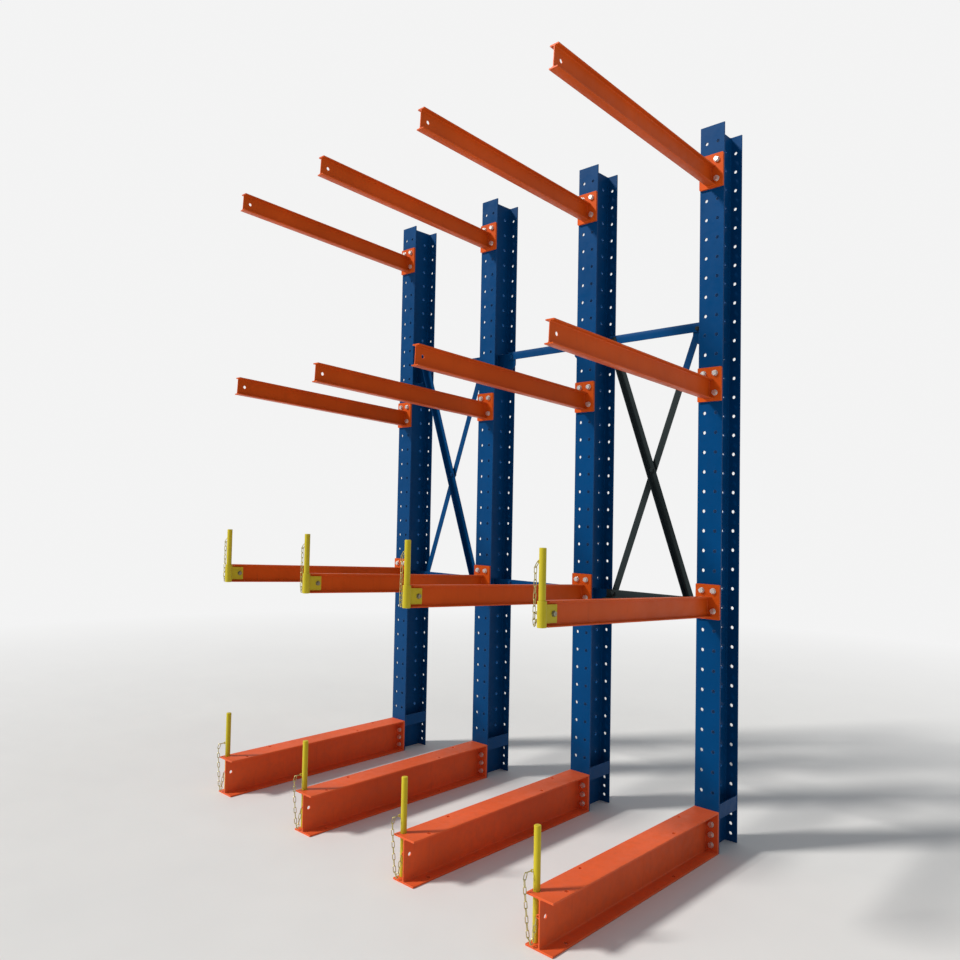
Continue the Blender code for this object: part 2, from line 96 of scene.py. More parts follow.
DIAGONAL = {"leg": 0.040, "thick": 0.004, "end": 0.020}
LINK = {"length": 0.033, "width": 0.0145, "wire": 0.0018}
EYE = {"radius": 0.0052, "wire": 0.0019}
BRACE_HOLE = 0.007
ARM_ROW = 0.142
ARM_DROP = 0.030
ARM_PLATE = {"width": 0.131, "above_row": 0.032, "corner": 0.004}
ARM_EYE_BACK = 0.049
SOCKET = {"outer": 0.019, "inner": 0.016, "floor": 0.004, "plate": 0.005}
UPPER_STRUT_TOP = 2.690
LOWER_STRUT_FOOT = 1.188
FOOT_STRIP = {"foot": 0.168, "top": 0.240, "inner": 0.060, "outer": 0.066}
BASE_EYE_ABOVE = 0.075
ARM_EYE_ABOVE = 0.150
REACH = FACE_Y - TIP_Y
STRUT_Y = FACE_Y + GUSSET_BACK - GUSSET - GAP


# ---------------------------------------------------------------- mesh tools
def arc(cx, cy, radius, start, stop, steps):
    """Points of an arc, both ends included, in degrees."""
    points = []
    for i in range(steps + 1):
        angle = math.radians(start + (stop - start) * i / steps)
        points.append((cx + radius * math.cos(angle), cy + radius * math.sin(angle)))
    return points


def i_section(width, depth, web, flange, root, toe=0.0012):
    """Outline of a rolled I-section with rounded roots and softened toes."""
    side = width / 2
    low = -depth / 2
    inner = low + flange
    centre = web / 2 + root
    right = arc(side - toe, low + toe, toe, 270, 360, 2) + arc(side - toe, inner - toe, toe, 0, 90, 2)
    right += arc(centre, inner + root, root, 270, 180, 5)
    right += [(u, -v) for u, v in reversed(right)]
    return right + [(-u, v) for u, v in reversed(right)]


def angle_section(leg, thick):
    """Outline of a rolled angle: one leg along +u, the other along +v, heel at the origin."""
    toe = thick * 0.45
    points = arc(0.0006, 0.0006, 0.0006, 180, 270, 2)
    points += [(leg - 0.0004, 0)] + arc(leg - toe, thick - toe, toe, 0, 90, 3)
    points += arc(2 * thick, 2 * thick, thick, 270, 180, 4)
    points += arc(thick - toe, leg - toe, toe, 0, 90, 3) + [(0, leg - 0.0004)]
    return points


def prism(bm, outline, first_end, second_end):
    """Closed body whose end faces are the outline placed by the two functions."""
    first = [bm.verts.new(first_end(u, v)) for u, v in outline]
    second = [bm.verts.new(second_end(u, v)) for u, v in outline]
    faces = [bm.faces.new(list(reversed(first))), bm.faces.new(second)]
    for i in range(len(outline)):
        j = (i + 1) % len(outline)
        faces.append(bm.faces.new((first[i], first[j], second[j], second[i])))
    bmesh.ops.recalc_face_normals(bm, faces=faces)
    return first + second


def box(bm, low, high):
    outline = [(low[0], low[1]), (high[0], low[1]), (high[0], high[1]), (low[0], high[1])]
    return prism(bm, outline, lambda u, v: (u, v, low[2]), lambda u, v: (u, v, high[2]))


def turned(bm, profile, steps, matrix=None):
    """Body of revolution about local Z; the profile is (radius, z) and closes on itself or the axis."""
    matrix = matrix or Matrix.Identity(4)
    rings = []
    for radius, z in profile:
        count = 1 if radius == 0 else steps
        ring = []
        for i in range(count):
            angle = 2 * math.pi * i / steps
            spot = Vector((radius * math.cos(angle), radius * math.sin(angle), z))
            ring.append(bm.verts.new(matrix @ spot))
        rings.append(ring)
    pairs = list(zip(rings, rings[1:]))
    if profile[0][0] > 0:
        pairs.append((rings[-1], rings[0]))
    faces = []
    for low, high in pairs:
        for i in range(steps):
            j = (i + 1) % steps
            if len(low) == 1:
                faces.append(bm.faces.new((low[0], high[i], high[j])))
            elif len(high) == 1:
                faces.append(bm.faces.new((low[i], low[j], high[0])))
            else:
                faces.append(bm.faces.new((low[i], low[j], high[j], high[i])))
    bmesh.ops.recalc_face_normals(bm, faces=faces)
    return [v for ring in rings for v in ring]


def tube(bm, points, radius, sides=8, closed=False):
    """Round bar along a path; radius is a number or a function of the point's index."""
    count = len(points)
    rings = []
    side = None
    for i, point in enumerate(points):
        before = points[(i - 1) % count] if closed or i > 0 else point
        after = points[(i + 1) % count] if closed or i < count - 1 else point
        ahead = (after - before).normalized()
        if side is None:
            side = ahead.orthogonal().normalized()
        side = (side - ahead * side.dot(ahead)).normalized()
        up = ahead.cross(side)
        size = radius(i) if callable(radius) else radius
        ring = []
        for k in range(sides):
            angle = 2 * math.pi * k / sides
            offset = side * math.cos(angle) + up * math.sin(angle)
            ring.append(bm.verts.new(point + offset * size))
        rings.append(ring)
    faces = []
    pairs = list(zip(rings, rings[1:]))
    if closed:
        pairs.append((rings[-1], rings[0]))
    else:
        faces.append(bm.faces.new(list(reversed(rings[0]))))
        faces.append(bm.faces.new(rings[-1]))
    for low, high in pairs:
        for k in range(sides):
            m = (k + 1) % sides
            faces.append(bm.faces.new((low[k], low[m], high[m], high[k])))
    bmesh.ops.recalc_face_normals(bm, faces=faces)


def piece(name, bm, material, body=STATIC, replaces=(), sharp=35):
    """Makes a visible piece of the mesh, in the row frame, and lets it ride on a CAD body."""
    mesh = bpy.data.meshes.new(name)
    bm.to_mesh(mesh)
    bm.free()
    return finished(name, mesh, material, body, replaces, sharp)


def finished(name, mesh, material, body=STATIC, replaces=(), sharp=35):
    mesh.name = name
    mesh.materials.clear()
    mesh.materials.append(material)
    mesh.shade_smooth()
    mesh.set_sharp_from_angle(angle=math.radians(sharp))
    thing = bpy.data.objects.new(name, mesh)
    bpy.context.scene.collection.objects.link(thing)
    if body:
        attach(thing, body)
    if replaces:
        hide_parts(*replaces)
    return thing


def applied(parts, holes, edge=0.0006):
    """Mesh of the parts joined by Boolean unions, with the holes cut and the edges softened."""
    bodies = []
    for bm in parts + ([holes] if holes else []):
        mesh = bpy.data.meshes.new("body")
        bm.to_mesh(mesh)
        bm.free()
        thing = bpy.data.objects.new("body", mesh)
        bpy.context.scene.collection.objects.link(thing)
        bodies.append(thing)
    main = bodies[0]
    for i, other in enumerate(bodies[1:], start=1):
        step = main.modifiers.new("join", "BOOLEAN")
        step.solver = "EXACT"
        step.operation = "UNION" if i < len(parts) else "DIFFERENCE"
        step.object = other
    if edge:
        soften = main.modifiers.new("soften", "BEVEL")
        soften.width = edge
        soften.segments = 1
        soften.limit_method = "ANGLE"
        soften.angle_limit = math.radians(55)
        soften.use_clamp_overlap = True
    view = bpy.context.evaluated_depsgraph_get()
    view.update()
    mesh = bpy.data.meshes.new_from_object(main.evaluated_get(view))
    for thing in bodies:
        bpy.data.objects.remove(thing)
    return mesh


def copied(mesh, offset):
    """Copy of a mesh moved to its place in the row frame, so that each copy's finish differs."""
    fresh = mesh.copy()
    fresh.transform(Matrix.Translation(offset))
    return fresh


def hole(bm, centre, axis, radius, length, steps=24):
    """Cylinder for cutting a hole, along X, Y or Z."""
    turn = {"X": Matrix.Rotation(math.pi / 2, 4, "Y"), "Y": Matrix.Rotation(math.pi / 2, 4, "X")}
    matrix = Matrix.Translation(centre) @ turn.get(axis, Matrix.Identity(4))
    profile = [(0, -length / 2), (radius, -length / 2), (radius, length / 2), (0, length / 2)]
    turned(bm, profile, steps, matrix)


def weld(bm, start, stop, radius=0.0032):
    """Rippled weld bead between two points."""
    start = Vector(start)
    stop = Vector(stop)
    count = max(4, int((stop - start).length / 0.004))
    points = [start.lerp(stop, i / count) for i in range(count + 1)]

    def size(i):
        end = 0.55 if i in (0, count) else 1
        return radius * end * (1 + 0.10 * math.sin(2.4 * i) + 0.05 * math.sin(0.7 * i))

    tube(bm, points, size, 6)


# ---------------------------------------------------------------- materials
class Finish:
    """Small helper that wires one node material around a Principled BSDF."""

    def __init__(self, name, roughness, metallic=0.0):
        self.material = bpy.data.materials.new(name)
        self.material.use_nodes = True
        self.tree = self.material.node_tree
        self.shader = self.tree.nodes["Principled BSDF"]
        self.shader.inputs["Metallic"].default_value = metallic
        self.shader.inputs["Roughness"].default_value = roughness
        self.where = self.node("ShaderNodeTexCoord").outputs["Object"]

    def node(self, kind):
        return self.tree.nodes.new(kind)

    def link(self, source, target):
        self.tree.links.new(source, target)

    def stretched(self, scale):
        mapping = self.node("ShaderNodeMapping")
        mapping.inputs["Scale"].default_value = scale
        self.link(self.where, mapping.inputs["Vector"])
        return mapping.outputs["Vector"]

    def noise(self, scale, detail=4.0, roughness=0.55, stretch=None):
        texture = self.node("ShaderNodeTexNoise")
        texture.inputs["Scale"].default_value = scale
        texture.inputs["Detail"].default_value = detail
        texture.inputs["Roughness"].default_value = roughness
        self.link(self.stretched(stretch) if stretch else self.where, texture.inputs["Vector"])
        return texture.outputs["Fac"]

    def band(self, value, low, high, out_low=0.0, out_high=1.0):
        """Value mapped from low..high to out_low..out_high, held at the ends."""
        step = self.node("ShaderNodeMapRange")
        step.inputs["From Min"].default_value = low
        step.inputs["From Max"].default_value = high
        step.inputs["To Min"].default_value = out_low
        step.inputs["To Max"].default_value = out_high
        self.link(value, step.inputs["Value"])
        return step.outputs["Result"]

    def mix(self, factor, first, second):
        """Colour mix; each colour is an output or an RGB tuple."""
        step = self.node("ShaderNodeMix")
        step.data_type = "RGBA"
        self.link(factor, step.inputs["Factor"])
        for value, socket in ((first, step.inputs["A"]), (second, step.inputs["B"])):
            if isinstance(value, tuple):
                socket.default_value = (*value, 1)
            else:
                self.link(value, socket)
        return step.outputs["Result"]

    def times(self, first, second):
        step = self.node("ShaderNodeMath")
        step.operation = "MULTIPLY"
        self.link(first, step.inputs[0])
        self.link(second, step.inputs[1])
        return step.outputs["Value"]

    def scaled(self, colour, factor):
        """Colour made lighter or darker; the colour is an output or an RGB tuple."""
        if isinstance(colour, tuple):
            return tuple(min(1.0, c * factor) for c in colour)
        step = self.node("ShaderNodeVectorMath")
        step.operation = "SCALE"
        step.inputs["Scale"].default_value = factor
        self.link(colour, step.inputs[0])
        return step.outputs["Vector"]

    def edges(self, radius):
        """1 near sharp edges, 0 on flat faces."""
        rounded = self.node("ShaderNodeBevel")
        rounded.samples = 4
        rounded.inputs["Radius"].default_value = radius
        flat = self.node("ShaderNodeNewGeometry")
        match = self.node("ShaderNodeVectorMath")
        match.operation = "DOT_PRODUCT"
        self.link(rounded.outputs["Normal"], match.inputs[0])
        self.link(flat.outputs["Normal"], match.inputs[1])
        return self.band(match.outputs["Value"], 0.985, 0.85)

    def upward(self, low=0.6, high=0.95):
        """1 on faces that look up, 0 on the others."""
        split = self.node("ShaderNodeSeparateXYZ")
        self.link(self.node("ShaderNodeTexCoord").outputs["Normal"], split.inputs["Vector"])
        return self.band(split.outputs["Z"], low, high)

    def height(self, low, high):
        """0 at the lower height and 1 at the upper one."""
        split = self.node("ShaderNodeSeparateXYZ")
        self.link(self.where, split.inputs["Vector"])
        return self.band(split.outputs["Z"], low, high)

    def bump(self, value, distance, strength=1.0, under=None):
        step = self.node("ShaderNodeBump")
        step.inputs["Distance"].default_value = distance
        step.inputs["Strength"].default_value = strength
        self.link(value, step.inputs["Height"])
        if under:
            self.link(under, step.inputs["Normal"])
        return step.outputs["Normal"]

    def done(self, colour, roughness, normal):
        self.link(colour, self.shader.inputs["Base Color"])
        self.link(roughness, self.shader.inputs["Roughness"])
        self.link(normal, self.shader.inputs["Normal"])
        return self.material


def greyed(colour, keep, grey):
    return tuple(keep * c + grey for c in colour)


def painted_steel(name, colour, primer, rough, dirt, worn_tops=0.0, flow=0.00022, sheen=0.08, upper=None):
    """Gloss paint on rolled steel: tone drift, runs of grime, a painted highlight along the edges, worn
    edges, chips and orange peel.
    """
    f = Finish(name, rough)
    f.shader.inputs["Specular IOR Level"].default_value = 0.32
    f.shader.inputs["Specular Tint"].default_value = (*tuple(min(1, sheen + 1.4 * c) for c in colour), 1)
    body = colour
    if upper:
        body = f.mix(f.height(upper[0], upper[0] + 0.02), colour, upper[1])
    drift = f.band(f.noise(1.7, 3), 0.35, 0.68)
    mottled = f.mix(drift, f.scaled(body, 0.88), f.scaled(body, 1.10))
    patches = f.band(f.noise(14, 5, 0.6), 0.52, 0.76, 0, 0.35)
    mottled = f.mix(patches, mottled, f.scaled(body, 0.80))
    runs = f.band(f.noise(9, 6, 0.62, (5.0, 5.0, 0.5)), 0.58, 0.80, 0, 0.45 * dirt)
    grimy = f.mix(runs, mottled, greyed(colour, 0.45, 0.006))
    foot = f.band(f.height(0.0, 0.35), 0, 1, 0.40 * dirt, 0)
    dusty = f.mix(f.times(foot, f.band(f.noise(30, 6), 0.4, 0.65)), grimy, greyed(colour, 0.5, 0.045))
    rubbed = f.band(f.noise(60, 8, 0.72, (1.0, 0.22, 1.0)), 0.55, 0.70, 0, 0.10 + worn_tops)
    scuffed = f.mix(f.times(f.upward(), rubbed), dusty, greyed(colour, 0.60, 0.06))
    grain = f.noise(90, 7, 0.72)
    # Painted highlight: a lighter paint colour along the sharp edges stands in for light caught by the edges.
    highlit_edges = f.times(f.edges(0.0030), f.band(f.noise(26, 6, 0.7), 0.35, 0.65, 0.25, 0.90))
    edge_highlighted = f.mix(highlit_edges, scuffed, greyed(colour, 1.25, 0.05))
    worn = f.times(f.edges(0.0015), f.band(grain, 0.53, 0.58, 0, 0.85))
    edged = f.mix(worn, edge_highlighted, greyed(colour, 0.28, 0.075))
    scratches = f.band(f.noise(38, 9, 0.8, (0.12, 2.2, 1.6)), 0.66, 0.69, 0, 0.25 + 2 * worn_tops)
    scratched = f.mix(f.times(scratches, f.upward()), edged, greyed(colour, 0.35, 0.06))
    chips = f.band(grain, 0.700 - 0.05 * worn_tops, 0.715 - 0.05 * worn_tops)
    chipped = f.mix(chips, scratched, primer)
    rough_map = f.band(f.noise(22, 5), 0.3, 0.75, rough - 0.06, rough + 0.14)
    peel = f.bump(f.noise(260, 3, 0.5), flow, 0.5)
    waves = f.bump(f.noise(7, 2, 0.5), 0.0008, 0.25, peel)
    return f.done(chipped, rough_map, f.bump(chips, -0.00015, 0.8, waves))


def plated_steel(name, bright, dull, rough=0.32):
    """Zinc plate with cloudy passivation and fine scratches."""
    f = Finish(name, rough, metallic=0.85)
    clouds = f.band(f.noise(120, 5, 0.6), 0.32, 0.70)
    colour = f.mix(clouds, bright, dull)
    grime = f.band(f.noise(340, 4, 0.6), 0.56, 0.72, 0, 0.75)
    colour = f.mix(grime, colour, (0.10, 0.085, 0.06))
    rough_map = f.band(f.noise(180, 4), 0.3, 0.7, rough - 0.06, rough + 0.22)
    scratches = f.bump(f.noise(900, 2, 0.5, (1.0, 1.0, 0.15)), 0.00004, 0.5)
    return f.done(colour, rough_map, scratches)


BLUE = (0.0008, 0.0490, 0.1640)
GREEN = (0.0230, 0.0320, 0.0340)
GREEN_PRIMER = (0.05, 0.05, 0.04)
ORANGE = (0.6000, 0.0860, 0.0085)
BASE_ORANGE = (0.7600, 0.1150, 0.0300)
YELLOW = (0.5600, 0.4600, 0.0300)
BLUE_PAINT = painted_steel("blue_paint", BLUE, (0.030, 0.045, 0.060), 0.36, 0.6, sheen=0.02)
ORANGE_PAINT = painted_steel("orange_paint", ORANGE, (0.13, 0.04, 0.02), 0.38, 0.5, 0.10)
BASE_PAINT = painted_steel("base_paint", BASE_ORANGE, (0.13, 0.045, 0.03), 0.40, 0.6, 0.20, sheen=0.14)
GREEN_PAINT = painted_steel("green_paint", GREEN, GREEN_PRIMER, 0.45, 0.5)
YELLOW_PAINT = painted_steel("yellow_paint", YELLOW, (0.17, 0.14, 0.08), 0.42, 0.7, 0.2, 0.0005)
TWO_TONE_PAINT = painted_steel("two_tone_paint", GREEN, GREEN_PRIMER, 0.45, 0.5, upper=(2.39, BLUE))
ZINC = plated_steel("bright_zinc", (0.88, 0.86, 0.83), (0.60, 0.58, 0.55))
DULL_ZINC = plated_steel("dull_zinc", (0.40, 0.39, 0.30), (0.20, 0.19, 0.13), 0.42)
CHAIN_ZINC = plated_steel("yellow_zinc", (0.66, 0.60, 0.25), (0.42, 0.37, 0.16), 0.36)


# ---------------------------------------------------------------- bolts
FLATS = {0.016: 0.024, 0.012: 0.019}
WASHER_RADIUS = {0.016: 0.0150, 0.012: 0.0118}


def hex_outline(flats):
    return arc(0, 0, flats / math.sqrt(3), 30, 330, 5)


def hex_block(bm, matrix, start, stop, flats, chamfer=0.0011):
    """Hexagon along local Z from start to stop, its outer end chamfered."""
    inner = [(u * 0.90, v * 0.90) for u, v in hex_outline(flats)]
    edge = stop - math.copysign(chamfer, stop - start)
    outline = hex_outline(flats)
    rings = []
    for points, z in ((outline, start), (outline, edge), (inner, stop)):
        rings.append([bm.verts.new(matrix @ Vector((u, v, z))) for u, v in points])
    faces = [bm.faces.new(rings[0]), bm.faces.new(rings[-1])]
    for low, high in zip(rings, rings[1:]):
        for i in range(6):
            j = (i + 1) % 6
            faces.append(bm.faces.new((low[i], low[j], high[j], high[i])))
    bmesh.ops.recalc_face_normals(bm, faces=faces)


def washer(bm, matrix, start, stop, radius, bore):
    lip = 0.0005
    rim = stop - math.copysign(lip, stop - start)
    profile = [(bore, start), (radius, start), (radius, rim), (radius - lip, stop), (bore, stop)]
    turned(bm, profile, 24, matrix)


def bolt(bm, seat, outward, grip, size=0.016, turn=0.0):
    """Hex bolt from its head's seat through the grip to a washer, nut and thread end."""
    outward = Vector(outward)
    flats = FLATS[size]
    radius = WASHER_RADIUS[size]
    head = size * 0.63
    plate = 0.0028
    matrix = Matrix.Translation(seat) @ outward.to_track_quat("Z", "Y").to_matrix().to_4x4()
    matrix = matrix @ Matrix.Rotation(turn, 4, "Z")
    washer(bm, matrix, 0, plate, radius, size / 2 + 0.0004)
    hex_block(bm, matrix, plate, plate + head, flats)
    back = -grip
    washer(bm, matrix, back, back - plate, radius, size / 2 + 0.0004)
    hex_block(bm, matrix, back - plate, back - plate - size * 0.8, flats)
    end = back - plate - size * 0.8 - 0.006
    shank = size / 2
    start = plate + 0.001
    profile = [(0, start), (shank, start), (shank, end + 0.0012), (shank - 0.0012, end), (0, end)]
    turned(bm, profile, 16, matrix)


# ---------------------------------------------------------------- punched column
def border(cell, centre, angle):
    """Where a ray from the hole's centre meets the cell's edge."""
    reach = []
    for c, low, high, step in zip(centre, cell[:2], cell[2:], (math.cos(angle), math.sin(angle))):
        if step > 1e-12:
            reach.append((high - c) / step)
        elif step < -1e-12:
            reach.append((low - c) / step)
    t = min(reach)
    return (centre[0] + t * math.cos(angle), centre[1] + t * math.sin(angle))


def cell_angles(cells, centre, steps=12):
    angles = [2 * math.pi * i / steps for i in range(steps)]
    for u0, v0, u1, v1 in cells:
        for u, v in ((u0, v0), (u1, v0), (u1, v1), (u0, v1)):
            angles.append(math.atan2(v - centre[1], u - centre[0]) % (2 * math.pi))
    kept = []
    for angle in sorted(angles):
        if not kept or angle - kept[-1] > 1e-6:
            kept.append(angle)
    return kept


def side_heights(cell, centre, angles, u):
    """Heights of the cell's border points on the side at u, from low to high."""
    if centre is None:
        return [cell[1], cell[3]]
    points = [border(cell, centre, angle) for angle in angles]
    heights = sorted(v for p, v in points if abs(p - u) < 1e-9)
    kept = heights[:1]
    for v in heights[1:]:
        if v - kept[-1] > 1e-7:
            kept.append(v)
    return kept


def panel(bm, place, cell, centre, angles, radius):
    """Flat panel of one cell, with or without its hole."""
    if centre is None:
        u0, v0, u1, v1 = cell
        bm.faces.new([bm.verts.new(place(u, v)) for u, v in ((u0, v0), (u1, v0), (u1, v1), (u0, v1))])
        return
    for a, b in zip(angles, angles[1:] + angles[:1]):
        inner = [(centre[0] + radius * math.cos(t), centre[1] + radius * math.sin(t)) for t in (a, b)]
        outer = [border(cell, centre, t) for t in (b, a)]
        bm.faces.new([bm.verts.new(place(u, v)) for u, v in inner + outer])


def bore(bm, place_near, place_far, centre, angles, radius):
    """Wall of a hole between two faces."""
    for a, b in zip(angles, angles[1:] + angles[:1]):
        p, q = ((centre[0] + radius * math.cos(t), centre[1] + radius * math.sin(t)) for t in (a, b))
        corners = [place_near(*p), place_near(*q), place_far(*q), place_far(*p)]
        bm.faces.new([bm.verts.new(c) for c in corners])


def strip(bm, place_a, heights_a, place_b, heights_b):
    """Faces between two upright lines that start and end at the same heights."""
    i = j = 0
    while i < len(heights_a) - 1 or j < len(heights_b) - 1:
        next_a = heights_a[i + 1] if i < len(heights_a) - 1 else math.inf
        next_b = heights_b[j + 1] if j < len(heights_b) - 1 else math.inf
        corners = [place_a(heights_a[i]), place_b(heights_b[j])]
        if abs(next_a - next_b) < 1e-7:
            corners += [place_b(next_b), place_a(next_a)]
            i += 1
            j += 1
        elif next_a < next_b:
            corners.append(place_a(next_a))
            i += 1
        else:
            corners.append(place_b(next_b))
            j += 1
        bm.faces.new([bm.verts.new(c) for c in corners])


def column_cells():
    """Height cells of the column, each (low, high, hole height or None)."""
    first = 0.290
    cells = []
    low = 0
    for row, above in zip(FOOT_ROWS, (0.065, 0.115, 0.190)):
        cells.append((low, above, row))
        low = above
    cells.append((low, first - ROW_PITCH / 2, None))
    rows = int(round((TOP_ROW - first) / ROW_PITCH)) + 1
    for i in range(rows):
        z = first + i * ROW_PITCH
        cells.append((z - ROW_PITCH / 2, z + ROW_PITCH / 2, z))
    cells.append((TOP_ROW + ROW_PITCH / 2, HEIGHT, None))
    return cells


def punched_shaft(x):
    """Rolled column section with rows of holes in both flanges and the web."""
    bm = bmesh.new()
    side = HEAVY_WIDTH / 2
    web = HEAVY["web"] / 2
    flange = HEAVY["flange"]
    root = HEAVY["root"]
    toe = 0.0012
    near = web + root
    fillet = arc(near, flange + root, root, 270, 180, 4)[1:-1]
    for low, high, z in column_cells():
        ends = [low, high]
        outer = (0, low, side - toe, high)
        inner = (near, low, side - toe, high)
        centre = (GAUGE, z) if z else None
        angles = cell_angles((outer, inner), centre) if centre else None
        edge = side_heights(outer, centre, angles, side - toe)
        web_cell = (flange + root, low, HEAVY_DEPTH - flange - root, high)
        web_centre = (WEB_ROW, z) if z and z > max(FOOT_ROWS) else None
        web_angles = cell_angles((web_cell,), web_centre) if web_centre else None
        for s in (-1, 1):
            for face_y, deep, web_side in ((FACE_Y, 1, web_cell[0]), (REAR_Y, -1, web_cell[2])):

                def at(w, u, v, s=s, face_y=face_y, deep=deep):
                    return (x + s * u, face_y + deep * w, v)

                def front(u, v, at=at):
                    return at(0, u, v)

                def behind(u, v, at=at):
                    return at(flange, u, v)

                panel(bm, front, outer, centre, angles, BOLT_HOLE)
                panel(bm, behind, inner, centre, angles, BOLT_HOLE)
                if centre:
                    bore(bm, front, behind, centre, angles, BOLT_HOLE)
                rim = [((0, side - toe), edge), ((toe, side), ends)]
                rim += [((flange - toe, side), ends), ((flange, side - toe), edge)]
                bend = [((flange, near), side_heights(inner, centre, angles, near))]
                bend += [((w, u), ends) for u, w in fillet]
                bend += [((flange + root, web), side_heights(web_cell, web_centre, web_angles, web_side))]
                for run in (rim, bend):
                    for (a, heights_a), (b, heights_b) in zip(run, run[1:]):
                        strip(bm, lambda v: at(*a, v), heights_a, lambda v: at(*b, v), heights_b)
            panel(bm, lambda u, v: (x + s * web, FACE_Y + u, v), web_cell, web_centre, web_angles, BOLT_HOLE)
        if web_centre:
            bore(
                bm,
                lambda u, v: (x - web, FACE_Y + u, v),
                lambda u, v: (x + web, FACE_Y + u, v),
                web_centre,
                web_angles,
                BOLT_HOLE,
            )
    half = [(0, 0), (side - toe, 0), (side, toe), (side, flange - toe), (side - toe, flange)]
    half += [(near, flange)] + fillet + [(web, flange + root)]
    half += [(u, HEAVY_DEPTH - w) for u, w in reversed(half)]
    outline = half + [(-u, w) for u, w in reversed(half) if u > 0]
    for z in (0, HEIGHT):
        bm.faces.new([bm.verts.new((x + u, FACE_Y + w, z)) for u, w in outline])
    bmesh.ops.remove_doubles(bm, verts=bm.verts, dist=2e-6)
    bmesh.ops.recalc_face_normals(bm, faces=bm.faces)
    return bm


def gusset_plate(x, sides, size):
    """Brace plate through the web, bevelled, with its bolt holes."""
    reach, bottom, top = size
    cut = 0.030
    outline = []
    if 1 in sides:
        outline += [(reach - cut, bottom), (reach, bottom + cut), (reach, top)]
    else:
        outline += [(0, bottom), (0, top)]
    if -1 in sides:
        outline += [(-reach, top), (-reach, bottom + cut), (cut - reach, bottom)]
    else:
        outline += [(0, top), (0, bottom)]
    back = FACE_Y + GUSSET_BACK
    plate = bmesh.new()
    prism(plate, outline, lambda u, v: (x + u, back - GUSSET, v), lambda u, v: (x + u, back, v))
    cuts = bmesh.new()
    node = UPPER_NODE if size == UPPER_GUSSET else LOWER_NODE
    for side in sides:
        hole(cuts, (x + side * node[0], back - GUSSET / 2, node[1]), "Y", BRACE_HOLE, 0.02)
    return applied([plate], cuts)


def build_columns():
    low = FOOT_STRIP["foot"]
    high = FOOT_STRIP["top"]
    for i, x in enumerate(COLUMN_X):
        sides = {0: (1,), 3: (-1,)}.get(i, (-1, 1))
        name = f"column_{i + 1}"
        piece(f"{name}_shaft", punched_shaft(x), BLUE_PAINT, replaces=[name])
        for label, size in (("upper", UPPER_GUSSET), ("lower", LOWER_GUSSET)):
            finished(f"{name}_{label}_gusset", gusset_plate(x, sides, size), BLUE_PAINT)
        strips = bmesh.new()
        beads = bmesh.new()
        for side in (-1, 1):
            edges = sorted((x + side * FOOT_STRIP["inner"], x + side * FOOT_STRIP["outer"]))
            box(strips, (edges[0], FACE_Y + 0.007, low), (edges[1], REAR_Y - 0.007, high))
            bead = x + side * (FOOT_STRIP["outer"] - 0.0012)
            for y in (FACE_Y + HEAVY["flange"] + 0.0006, REAR_Y - HEAVY["flange"] - 0.0006):
                weld(beads, (bead, y, low + 0.003), (bead, y, high - 0.003), 0.0026)
            if side in sides:
                for _, bottom, top in (UPPER_GUSSET, LOWER_GUSSET):
                    for y in (FACE_Y + GUSSET_BACK - GUSSET, FACE_Y + GUSSET_BACK):
                        edge = x + side * HEAVY["web"] / 2
                        weld(beads, (edge, y, bottom + 0.006), (edge, y, top - 0.006))
        piece(f"{name}_foot_strips", strips, BLUE_PAINT)
        piece(f"{name}_welds", beads, BLUE_PAINT)


# ---------------------------------------------------------------- base beams
def base_beam_mesh():
    outline = i_section(HEAVY_WIDTH, HEAVY_DEPTH, **HEAVY)
    middle = HEAVY_DEPTH / 2
    beam = bmesh.new()
    prism(
        beam,
        outline,
        lambda u, v: (u, TIP_Y, v + middle),
        lambda u, v: (u, FACE_Y - GAP - PLATE / 2, v + middle),
    )
    plate = bmesh.new()
    half = HEAVY_WIDTH / 2
    box(plate, (-half, FACE_Y - GAP - PLATE, 0), (half, FACE_Y - GAP, HEAVY_DEPTH))
    cuts = bmesh.new()
    flange = HEAVY["flange"]
    hole(cuts, (-PIN_SIDE, TIP_Y + PIN_BACK, HEAVY_DEPTH), "Z", PIN_HOLE, 0.03, 36)
    hole(cuts, (0, TIP_Y + TIP_HOLE["back"], TIP_HOLE["height"]), "X", BOLT_HOLE, 0.02)
    for x, back in ANCHOR_HOLES:
        for z in (flange / 2, HEAVY_DEPTH - flange / 2):
            hole(cuts, (x, TIP_Y + back, z), "Z", BOLT_HOLE, 0.02)
    for x in (-GAUGE, GAUGE):
        for z in FOOT_ROWS:
            hole(cuts, (x, FACE_Y - PLATE / 2, z), "Y", BOLT_HOLE, 0.03)
    return applied([beam, plate], cuts)


def base_welds(bm, x):
    y = FACE_Y - GAP - PLATE
    web = HEAVY["web"] / 2
    flange = HEAVY["flange"]
    for side in (-1, 1):
        weld(bm, (x + side * web, y, flange + 0.010), (x + side * web, y, HEAVY_DEPTH - flange - 0.010))
        for z in (flange, HEAVY_DEPTH - flange):
            weld(bm, (x + side * 0.012, y, z), (x + side * 0.064, y, z))


def staple(bm, x):
    """Bent-bar eye welded to the left face of the beam's web."""
    face = x - HEAVY["web"] / 2
    y = TIP_Y + STAPLE["back"]
    radius = STAPLE["rise"] / 2
    outline = [(0.002, -radius)] + arc(radius - STAPLE["reach"], 0, radius, 270, 90, 8) + [(0.002, radius)]
    tube(bm, [Vector((face + u, y, STAPLE["height"] + v)) for u, v in outline], STAPLE["wire"], 8)


